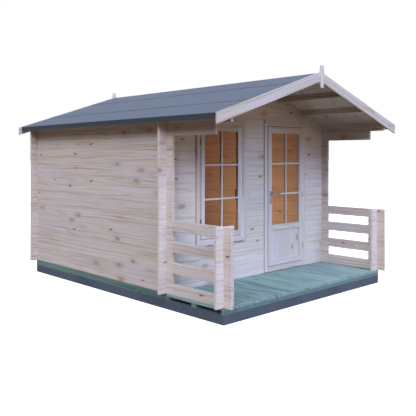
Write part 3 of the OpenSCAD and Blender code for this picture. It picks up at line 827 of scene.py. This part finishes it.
def add_bar(
    mesh: bmesh.types.BMesh, low: Point, high: Point, bevel: float, segments: int = 1
) -> set[bmesh.types.BMFace]:
    """Adds a squared bar with bevelled edges.

    Args:
        mesh: The mesh that gets it.
        low: Its lowest corner.
        high: Its highest corner.
        bevel: The bevel's width.
        segments: The bevel's segments.

    Returns:
        The bar's faces.
    """
    made = bmesh.ops.create_cube(mesh, size=1.0)["verts"]
    bmesh.ops.scale(mesh, vec=[b - a for a, b in zip(low, high)], verts=made)
    bmesh.ops.translate(mesh, vec=[(a + b) / 2 for a, b in zip(low, high)], verts=made)
    edges = list(dict.fromkeys(edge for vert in made for edge in vert.link_edges))
    bevelled = bmesh.ops.bevel(
        mesh, geom=edges, offset=bevel, offset_type="OFFSET", affect="EDGES",
        segments=segments, profile=0.5, material=-1,
    )["faces"]
    return {face for strip in bevelled for vert in strip.verts for face in vert.link_faces}


def link(name: str, data: bpy.types.ID) -> bpy.types.Object:
    """Puts a new object in the scene.

    Args:
        name: Its name.
        data: Its mesh, lamp or camera.

    Returns:
        The object.
    """
    made = bpy.data.objects.new(name, data)
    bpy.context.scene.collection.objects.link(made)
    return made


def finish_piece(
    mesh: bmesh.types.BMesh, name: str, body: str, slot: str, *finishes: Finish
) -> bpy.types.Object:
    """Makes an object of a mesh and joins it to a body.

    Args:
        mesh: The mesh, which is freed.
        name: The piece's name.
        body: The body that it rides on.
        slot: The record's material slot; not used.
        *finishes: Its finishes, in the order of its faces' material indices.

    Returns:
        The object.
    """
    bmesh.ops.recalc_face_normals(mesh, faces=mesh.faces)
    data = bpy.data.meshes.new(name)
    mesh.to_mesh(data)
    mesh.free()
    for finish in finishes:
        data.materials.append(finish.material())
    piece = link(name, data)
    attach(piece, body)
    LOG.info("%s: %d faces on %s", name, len(data.polygons), body)
    return piece


@dataclass
class BoardRow:
    """A level row of boards that stands for a CAD slab."""

    name: str
    node: str
    pitch: float
    gap: float
    bevel: float

    def build(self, finish: Timber) -> None:
        """Cuts the slab's box into boards that lie side by side across X.

        Args:
            finish: The boards' finish.
        """
        low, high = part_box(self.node)
        count = round((high[0] - low[0]) / self.pitch)
        step = (high[0] - low[0]) / count
        mesh = bmesh.new()
        for i in range(count):
            left = low[0] + i * step + (self.gap / 2 if i else 0)
            right = low[0] + (i + 1) * step - (self.gap / 2 if i < count - 1 else 0)
            add_bar(mesh, (left, *low[1:]), (right, *high[1:]), self.bevel, 2)
        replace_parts(finish_piece(mesh, self.name, "cabin", self.name, finish), self.node)


@dataclass
class RoofBoards:
    """Tongued boards that run from the ridge to the eaves on one side of the roof."""

    side: int
    pitch: float
    board_width: float = 0.0875
    thickness: float = 0.019
    groove: float = 0.004
    play: float = 0.0004

    def build(self, finish: Timber) -> None:
        """Cuts one slope into boards, level at first, and then shears them to the slope.

        Args:
            finish: The boards' finish.
        """
        node = "roof_boards_left" if self.side < 0 else "roof_boards_right"
        low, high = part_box(node)
        rise = self.thickness / math.cos(self.pitch)
        count = round((high[1] - low[1]) / self.board_width)
        step = (high[1] - low[1]) / count
        mesh = bmesh.new()
        for i in range(count):
            near, far = low[1] + i * step, low[1] + (i + 1) * step
            add_bar(
                mesh, (low[0], near + self.play / 2, 0.0), (high[0], far - self.play / 2, rise),
                self.groove,
            )
        inner = min(abs(low[0]), abs(high[0]))
        slope = Matrix.Identity(4)
        slope[2][0] = -self.side * math.tan(self.pitch)
        slope[2][3] = high[2] - rise + inner * math.tan(self.pitch)
        bmesh.ops.transform(mesh, matrix=slope, verts=mesh.verts)
        name = node.replace("boards", "board_row")
        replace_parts(finish_piece(mesh, name, "cabin", "roof_timber", finish), node)


@dataclass
class GlazingBars:
    """Bars on both faces of a pane that part it into small lights."""

    name: str
    pane: str
    body: str
    columns: int = 2
    rows: int = 3
    width: float = 0.020
    outer: float = 0.012
    inner: float = 0.014
    seat: float = 0.009
    clearance: float = 0.0004
    bevel: float = 0.003

    def build(self, upright: Timber, level: Timber) -> None:
        """Lays the upright bars and fits the level ones between them.

        Args:
            upright: The upright bars' finish.
            level: The level bars' finish.
        """
        low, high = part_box(self.pane)
        half, play, edge = self.width / 2, self.clearance / 2, self.seat + self.clearance
        left, right = low[0] + edge, high[0] - edge
        foot, top = low[2] + edge, high[2] - edge
        places = [left + (right - left) * i / self.columns for i in range(1, self.columns)]
        stops = [x + side * (half + self.clearance) for x in places for side in (-1, 1)]
        stops = [left, *stops, right]
        mesh = bmesh.new()
        faces = (low[1] - self.outer, low[1] - play), (high[1] + play, high[1] + self.inner)
        for near, far in faces:
            for x in places:
                add_bar(mesh, (x - half, near, foot), (x + half, far, top), self.bevel, 2)
            for row in range(1, self.rows):
                z = foot + (top - foot) * row / self.rows
                for start, end in zip(stops[::2], stops[1::2]):
                    ends = (start, near, z - half), (end, far, z + half)
                    for face in add_bar(mesh, *ends, self.bevel, 2):
                        face.material_index = 1
        finish_piece(mesh, self.name, self.body, "joinery", upright, level)


@dataclass
class LockScrews:
    """The lock plates' screw heads, each with a dished drive recess."""

    margin: float = 0.012
    radius: float = 0.0038
    rise: float = 0.0012
    taper: float = 0.86
    rim: float = 0.45
    dish: float = 0.6
    sides: int = 12

    def add_head(self, mesh: bmesh.types.BMesh, place: Point, out: Point) -> None:
        """Adds one screw head.

        Args:
            mesh: The mesh that gets it.
            place: The middle of its foot.
            out: The way that it faces.
        """
        sides = bmesh.ops.create_cone(
            mesh, cap_ends=True, segments=self.sides, radius1=self.radius,
            radius2=self.radius * self.taper, depth=self.rise,
            matrix=Matrix.Translation((0, 0, self.rise / 2)),
        )["verts"]
        faces = dict.fromkeys(face for vert in sides for face in vert.link_faces)
        cap = max(faces, key=lambda face: face.calc_center_median().z)
        bmesh.ops.inset_individual(mesh, faces=[cap], thickness=self.radius * self.rim)
        bmesh.ops.translate(mesh, vec=(0, 0, -self.rise * self.dish), verts=list(cap.verts))
        turn = Vector((0, 0, 1)).rotation_difference(Vector(out)).to_matrix().to_4x4()
        every = [*sides, *cap.verts]
        bmesh.ops.transform(mesh, matrix=Matrix.Translation(place) @ turn, verts=every)

    def build(self, finish: Metal) -> None:
        """Puts a screw at the foot and the top of both plates.

        Args:
            finish: The screws' finish.
        """
        low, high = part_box("lock_plates")
        middle = (low[0] + high[0]) / 2
        mesh = bmesh.new()
        for z in (low[2] + self.margin, high[2] - self.margin):
            self.add_head(mesh, (middle, low[1], z), (0, -1, 0))
            self.add_head(mesh, (middle, high[1], z), (0, 1, 0))
        finish_piece(mesh, "lock_screws", "door", "satin_metal", finish)


# ---- Sub-assemblies ----


@dataclass
class Assembly:
    """A part of the cabin that builds its own pieces and dresses its CAD nodes."""

    nodes: dict[str, bpy.types.Object]
    room: Room = field(default_factory=Room.read)

    def dress(self, finish: Finish, *names: str) -> None:
        """Gives CAD nodes a finish.

        Args:
            finish: The finish.
            *names: The nodes to dress.
        """
        material = finish.material()
        for name in names:
            data = self.nodes[name].data
            data.materials.clear()
            data.materials.append(material)
            LOG.info("%s: %s", name, material.name)

    def build(self) -> None:
        """Builds and dresses the part."""
        raise NotImplementedError


@dataclass
class Base(Assembly):
    """The slab, the bearers and joists, the floor and the veranda's deck."""

    deck_pitch: float = 0.12
    deck_gap: float = 0.003
    floor_pitch: float = 0.088
    floor_gap: float = 0.0006

    def build(self) -> None:
        """Builds the deck and the floor and dresses what carries them."""
        deck = Timber(
            "deck_wood", Grain.ALONG_Y, Stand.LEVEL, Wood.DECK, board=self.deck_pitch,
            start=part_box("veranda_deck")[0][0], seed=17.0, knots=0.25, contrast=1.45,
        )
        BoardRow("deck_boards", "veranda_deck", self.deck_pitch, self.deck_gap, 0.003).build(deck)
        floor = Timber(
            "floor_wood", Grain.ALONG_Y, Stand.LEVEL, Wood.FLOOR, board=self.floor_pitch,
            start=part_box("cabin_floor")[0][0], seed=19.0,
        )
        row = BoardRow("floor_boards", "cabin_floor", self.floor_pitch, self.floor_gap, 0.0008)
        row.build(floor)
        bearer = Timber(
            "bearer_wood", Grain.ALONG_Y, wood=Wood.BEARERS, board=0.07, start=0.0, seed=23.0,
            knots=0.4, contrast=1.5,
        )
        self.dress(bearer, "wall_bearers", "floor_joists")
        edge = replace(bearer, name="veranda_bearer_wood", wood=Wood.VERANDA_BEARERS)
        self.dress(edge, "veranda_bearers")
        slab = Mineral(
            "slab_concrete", (0.105, 0.125, 0.165), (0.055, 0.068, 0.095), 0.35, depth=0.0012
        )
        self.dress(slab, "base_slab")


@dataclass
class Walls(Assembly):
    """The log walls, with their railings and brackets, and the veranda's posts."""

    course: float = 0.114
    tips: Tips = field(default_factory=Tips.read)

    def logs(self, name: str, grain: Grain, seed: float, **changes: object) -> Timber:
        """Describes wall logs, whose courses along X lie half a course off those along Y.

        Args:
            name: The finish's name.
            grain: The way that they run.
            seed: Their seed.
            **changes: Fields to change.

        Returns:
            The finish.
        """
        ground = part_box("left_wall")[0][2]
        start = ground if grain is Grain.ALONG_Y else ground - self.course / 2
        settings = {"board": self.course, "room": self.room, "tips": self.tips, **changes}
        return Timber(name, grain, start=start, seed=seed, **settings)

    def build(self) -> None:
        """Dresses the logs of the walls, the railings and the posts."""
        self.dress(self.logs("left_logs", Grain.ALONG_Y, 3.0), "left_wall")
        right = self.logs("right_logs", Grain.ALONG_Y, 8.0, wood=Wood.RIGHT_LOGS_PAINTED_LIGHTER, contrast=1.2)
        self.dress(right, "right_wall")
        self.dress(self.logs("rear_logs", Grain.ALONG_X, 5.0, contrast=1.3), "rear_wall")
        front = self.logs("front_logs", Grain.ALONG_X, 11.0, wood=Wood.FRONT_LOGS_PAINTED_COOL_LIGHT, knots=0.32)
        parts = ("below", "left", "middle", "right", "top")
        self.dress(front, *(f"front_wall_{part}" for part in parts))
        post = self.logs("post_logs", Grain.ALONG_X, 14.0, wood=Wood.POSTS_PAINTED_LIGHTER, knots=0.05, tips=None)
        self.dress(post, "left_post", "right_post")


@dataclass
class Roof(Assembly):
    """The roof: its boards, its purlins, the boards at its edges, its finials and its felt."""

    pitch: float = math.radians(18.15)
    board_width: float = 0.0873
    felt: float = 0.0035

    def build(self) -> None:
        """Builds the roof's boards and dresses its timber and felt."""
        boards = Timber(
            "roof_boards", Grain.ALONG_X, Stand.LEVEL, Wood.CEILING, board=self.board_width,
            start=0.0, seed=21.0, knots=0.12, contrast=1.1,
        )
        for side in (-1, 1):
            RoofBoards(side, self.pitch).build(boards)
        purlin = Timber("purlin_wood", Grain.ALONG_Y, wood=Wood.PURLINS_PAINTED_SHADE, seed=4.0, contrast=1.4)
        self.dress(purlin, "ridge_purlin", "purlins")
        self.dress(Timber("eaves_wood", Grain.ALONG_Y, seed=6.0), "eaves_boards")
        barge = Timber(
            "barge_wood", Grain.ALONG_X, wood=Wood.BARGES, seed=9.0, knots=0.5, contrast=1.6,
            lean=math.tan(self.pitch),
        )
        self.dress(barge, "barge_boards_front", "barge_boards_rear")
        finial = Timber("finial_wood", Grain.ALONG_Z, wood=Wood.POSTS_PAINTED_LIGHTER, seed=2.0, knots=0.0)
        self.dress(finial, "finials")
        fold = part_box("roof_felt_right")[1][0] - self.felt
        felt = Mineral(
            "roofing_felt", (0.093, 0.112, 0.153), (0.060, 0.075, 0.108), 0.12, fold=fold
        )
        self.dress(felt, "roof_felt_left", "roof_felt_right", "ridge_felt")


@dataclass
class Joinery(Assembly):
    """Planed frame wood, as the window and the door have it."""

    left_painted_shade: Shade = (0.88, 0.72, 0.62)
    # The room side of the frames and the gaps behind the glass get this painted warm shade
    indoor_tint: Shade = (0.80, 0.42, 0.23)

    def behind(self, name: str, margin: float = 0.0005) -> Room:
        """Gives the space on the room's side of a pane or a panel."""
        return replace(self.room, front=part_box(name)[1][1] + margin)

    def left_sides(self, *names: str) -> tuple[tuple[float, Shade], ...]:
        """Gives the planes of the nodes' leftmost faces, with the painted warm shade that darkens
        them.
        """
        planes = sorted({round(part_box(name)[0][0], 5) for name in names})
        return tuple((plane, self.left_painted_shade) for plane in planes)

    def frame(
        self, name: str, seed: float, stiles: str, *rails: str, **changes: object
    ) -> tuple[Timber, Timber]:
        """Dresses a frame in planed wood.

        Args:
            name: The finishes' common name.
            seed: The seed of the first.
            stiles: The upright pieces' node.
            *rails: The level pieces' nodes.
            **changes: Fields of the finishes to change.

        Returns:
            The upright pieces' finish and the level pieces' finish.
        """
        changes = {"room": self.room, "indoor_tint": self.indoor_tint, **changes}
        upright = Timber(
            f"{name}_upright", Grain.ALONG_Z, wood=Wood.PLANED, start=-1.5, seed=seed,
            knots=0.25, contrast=0.8, **changes,
        )
        level = replace(
            upright, name=f"{name}_level", grain=Grain.ALONG_X, seed=seed + 2.0, contrast=1.0
        )
        self.dress(upright, stiles)
        self.dress(level, *rails)
        return upright, level


@dataclass
class Window(Joinery):
    """The window: its frame and covers, its fixed sash, its bars, hinges and handle."""

    cover: float = 0.045
    cover_painted_light: Shade = (1.72, 1.80, 1.75)

    def build(self) -> None:
        """Builds the glazing bars and dresses the window."""
        low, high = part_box("window_covers")
        inner = (low[0] + self.cover, high[0] - self.cover)
        # The right cover's inner side gets a painted light that lifts it out of the groove's shade
        sides = (*self.left_sides("window_jambs", "window_covers"), (inner[1], self.cover_painted_light))
        _, level = self.frame(
            "window_frame", 31.0, "window_jambs", "window_head_and_sill", sides=sides
        )
        self.dress(replace(level, name="window_cover_wood", between=inner), "window_covers")
        room = self.behind("window_glass")
        sash = self.frame("sash", 41.0, "sash_stiles", "sash_rails", room=room)
        GlazingBars("window_bars", "window_glass", "cabin").build(*sash)
        self.dress(Glazing("window_pane_glass"), "window_glass")
        self.dress(Metal("black_iron", (0.012, 0.012, 0.013), 0.0, 0.42), "window_handle")
        self.dress(Metal("grey_iron", (0.085, 0.10, 0.098), 0.3, 0.5), "window_hinges")


@dataclass
class Door(Joinery):
    """The door: its frame, its half-glazed leaf, its bars, hinges, lock and lever."""

    leaf_painted_shade: Shade = (0.90, 0.62, 0.44)
    panel_boards: int = 6

    def build(self) -> None:
        """Builds the glazing bars and the screws and dresses the door."""
        self.frame(
            "door_frame", 37.0, "door_jambs", "door_head_and_threshold", "door_cap",
            sides=self.left_sides("door_jambs", "door_cap"),
        )
        # The leaf's room side and the gaps round it get a painted warm shade
        leaf = self.frame(
            "door_leaf", 47.0, "door_stiles", "door_rails", room=self.behind("door_glass"),
            indoor_tint=self.leaf_painted_shade,
        )
        GlazingBars("door_bars", "door_glass", "door").build(*leaf)
        self.dress(Glazing("window_pane_glass"), "door_glass")
        low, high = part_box("door_panel")
        panel = replace(
            leaf[0], name="door_panel_boards", board=(high[0] - low[0]) / self.panel_boards,
            start=low[0], seed=35.0, knots=0.12, contrast=0.9,
            room=self.behind("door_panel", -0.0005),
        )
        self.dress(panel, "door_panel")
        zinc = Metal("zinc_plate", (0.40, 0.39, 0.40), 0.4, 0.55)
        self.dress(zinc, "door_hinge_pins", "door_hinge_leaves")
        satin = Metal("satin_metal", (0.17, 0.21, 0.245), 0.6, 0.42)
        self.dress(satin, "lock_plates", "door_lever")
        LockScrews().build(satin)


# ---- Studio ----


def facing(toward: Point) -> Euler:
    """Gives the turn of a lamp that shines in a direction."""
    return Vector(toward).to_track_quat("-Z", "Y").to_euler()


@dataclass(frozen=True)
class Camera:
    """A level camera at eye height."""

    eye: Point = (-5.560, -5.997, 1.6605)
    heading: float = 43.67
    lens: float = 51.29
    shift: float = -0.1243

    def build(self) -> None:
        """Stands the camera and makes it the scene's own."""
        data = bpy.data.cameras.new("camera")
        data.lens, data.shift_y = self.lens, self.shift
        camera = link("camera", data)
        camera.location = self.eye
        camera.rotation_euler = (math.pi / 2, 0.0, -math.radians(self.heading))
        bpy.context.scene.camera = camera


@dataclass(frozen=True)
class Floor:
    """A pale floor that keeps the cabin's soft shadow."""

    size: float = 400.0

    def build(self) -> None:
        """Lays the floor."""
        mesh = bmesh.new()
        bmesh.ops.create_grid(mesh, x_segments=1, y_segments=1, size=self.size / 2)
        data = bpy.data.meshes.new("studio_floor")
        mesh.to_mesh(data)
        mesh.free()
        data.materials.append(FloorPaint("studio_floor").material())
        link("studio_floor", data)


@dataclass(frozen=True)
class Sky:
    """A white background and a soft ring of sky, dim at the horizon and overhead."""

    strength: float = 1.0
    foot: float = 0.36
    middle: float = 0.62
    top: float = 0.90
    zenith: float = 0.45
    shade: Shade = (1.18, 1.30, 1.50)
    horizon: Shade = (0.03, 0.022, 0.015)

    def build(self) -> None:
        """Makes the world."""
        world = bpy.data.worlds.new("studio_world")
        world.use_nodes = True
        bpy.context.scene.world = world
        graph = Graph(world.node_tree)
        height = graph.split(graph.add("ShaderNodeTexCoord").outputs["Generated"])[2]
        rise = graph.spread(height, self.foot, self.middle)
        fall = graph.spread(height, self.middle, self.top, 1.0, self.zenith)
        colour = graph.blend(graph.math("MULTIPLY", rise, fall), self.horizon, self.shade)
        sky = graph.fill(graph.find("BACKGROUND"), Color=colour, Strength=self.strength)
        white = graph.fill(graph.add("ShaderNodeBackground"), Color=WHITE, Strength=1.0)
        graph.show(graph.seen(), sky, white)


@dataclass(frozen=True)
class Sun:
    """A broad, soft lamp far away, with its width in degrees."""

    name: str
    toward: Point
    energy: float
    width: float
    shade: Shade

    def build(self) -> None:
        """Hangs the lamp."""
        data = bpy.data.lights.new(self.name, "SUN")
        data.energy, data.color = self.energy, self.shade
        data.angle = math.radians(self.width)
        link(self.name, data).rotation_euler = facing(self.toward)


@dataclass(frozen=True)
class RoomLamp:
    """A lamp over the floor of the room, for the daylight that falls on it."""

    place: Point = (0.40, 0.20, 0.30)
    toward: Point = (0.80, 0.1, 0.55)
    size: tuple[float, float] = (1.0, 1.3)
    energy: float = 26.0
    shade: Shade = (0.88, 1.0, 1.06)

    def build(self) -> None:
        """Lays the lamp."""
        data = bpy.data.lights.new("room_lamp", "AREA")
        data.shape = "RECTANGLE"
        data.size, data.size_y = self.size
        data.energy, data.color = self.energy, self.shade
        lamp = link("room_lamp", data)
        lamp.location, lamp.rotation_euler = self.place, facing(self.toward)
        lamp.visible_camera = lamp.visible_transmission = False


@dataclass(frozen=True)
class Studio:
    """A plain pale floor, soft even light and the camera."""

    suns: tuple[Sun, ...] = (
        Sun("front_lamp", (0.10, 0.82, -0.57), 1.78, 36.0, (0.74, 0.95, 1.32)),
        Sun("side_lamp", (0.70, 0.37, -0.60), 2.14, 32.0, (0.95, 0.98, 1.05)),
        Sun("low_lamp", (0.06, 0.97, -0.02), 0.54, 24.0, (1.18, 0.93, 0.76)),
        Sun("rear_lamp", (-0.55, -0.65, -0.52), 1.3, 60.0, (0.95, 0.97, 1.02)),
    )

    def build(self) -> None:
        """Sets up the studio."""
        for part in (Camera(), Floor(), Sky(), *self.suns, RoomLamp()):
            part.build()
        bpy.context.scene.view_settings.view_transform = "Standard"


def main() -> None:
    """Builds the studio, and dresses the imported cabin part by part."""
    logging.basicConfig(level=logging.INFO, format="%(message)s")
    for item in list(bpy.data.objects):
        bpy.data.objects.remove(item, do_unlink=True)
    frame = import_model()
    Studio().build()
    for part in (Base, Walls, Roof, Window, Door):
        part(frame["nodes"]).build()


if __name__ == "__main__":
    main()
